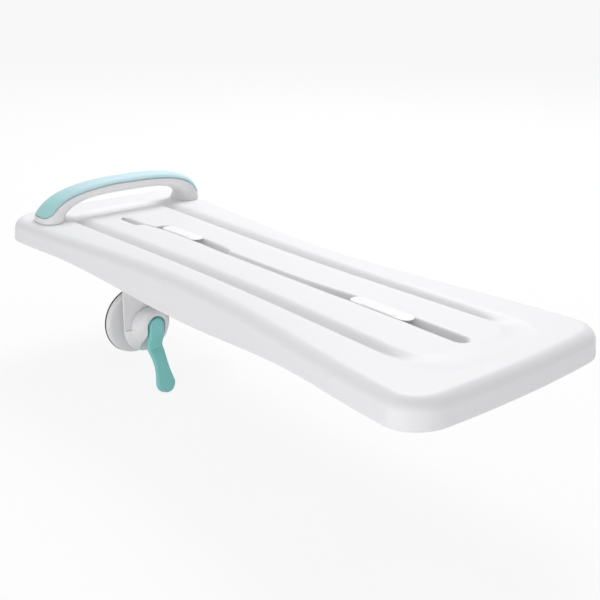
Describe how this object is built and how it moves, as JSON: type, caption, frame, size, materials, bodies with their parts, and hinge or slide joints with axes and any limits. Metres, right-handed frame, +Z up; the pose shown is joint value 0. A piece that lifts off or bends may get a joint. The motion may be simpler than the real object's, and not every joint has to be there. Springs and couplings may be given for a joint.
{
  "type": "bath board",
  "caption": "Waisted bath board with a ring drain groove, a grab handle at the end, and sliding brackets below, where a cam lever presses linked round pads against the bath wall.",
  "frame": {"origin": "middle of the board's length and width, in the plane of the bath rims, which is the underside of its four rubber rest pads", "axes": "+X along the board, away from the handle end; -Y towards the long side with the lever; +Z up, out of the seat"},
  "size_m": [0.74, 0.2762, 0.2292],
  "materials": {
    "body": "white moulded plastic with a satin gloss",
    "grip": "pale blue soft moulding",
    "lever": "teal moulded plastic",
    "rubber": "matt black rubber",
    "steel": "plain bright steel"
  },
  "bodies": {
    "board": {"board": "body", "left_near_rest_pad": "rubber", "left_far_rest_pad": "rubber", "right_near_rest_pad": "rubber", "right_far_rest_pad": "rubber", "handle_base": "body", "handle_grip": "grip", "handle_screw_1": "steel", "handle_screw_2": "steel", "handle_screw_3": "steel", "handle_screw_4": "steel"},
    "left_slider": {"left_cap": "body", "left_bracket": "body", "left_cap_screw_1": "steel", "left_cap_screw_2": "steel", "lever_pin": "steel", "near_return_spring": "steel", "far_return_spring": "steel"},
    "lever": {"lever": "lever"},
    "pads": {"near_pad_carrier": "body", "near_pad_rubber": "rubber", "near_plunger_clip": "steel", "pad_link": "body", "far_pad_carrier": "body", "far_pad_rubber": "rubber", "far_plunger_clip": "steel"},
    "right_slider": {"right_cap": "body", "stop_leg": "body", "stop_buffer": "rubber", "right_cap_screw_1": "steel", "right_cap_screw_2": "steel"}
  },
  "joints": [
    {"name": "left_bracket_slide", "type": "slide", "parent": "board", "child": "left_slider", "axis": [1, 0, 0], "range_m": [-0.022, 0.065]},
    {"name": "right_bracket_slide", "type": "slide", "parent": "board", "child": "right_slider", "axis": [1, 0, 0], "range_m": [-0.045, 0.06]},
    {"name": "lever_turn", "type": "hinge", "parent": "left_slider", "child": "lever", "pos_m": [-0.1255, -0.0585, -0.072], "axis": [0, -1, 0], "range_deg": [0, 90]},
    {"name": "pads_slide", "type": "slide", "parent": "left_slider", "child": "pads", "axis": [1, 0, 0], "range_m": [0, 0.004]}
  ],
  "couplings": [
    {"joint": "pads_slide", "follows": "lever_turn", "m_per_rad": 0.0025464}
  ]
}
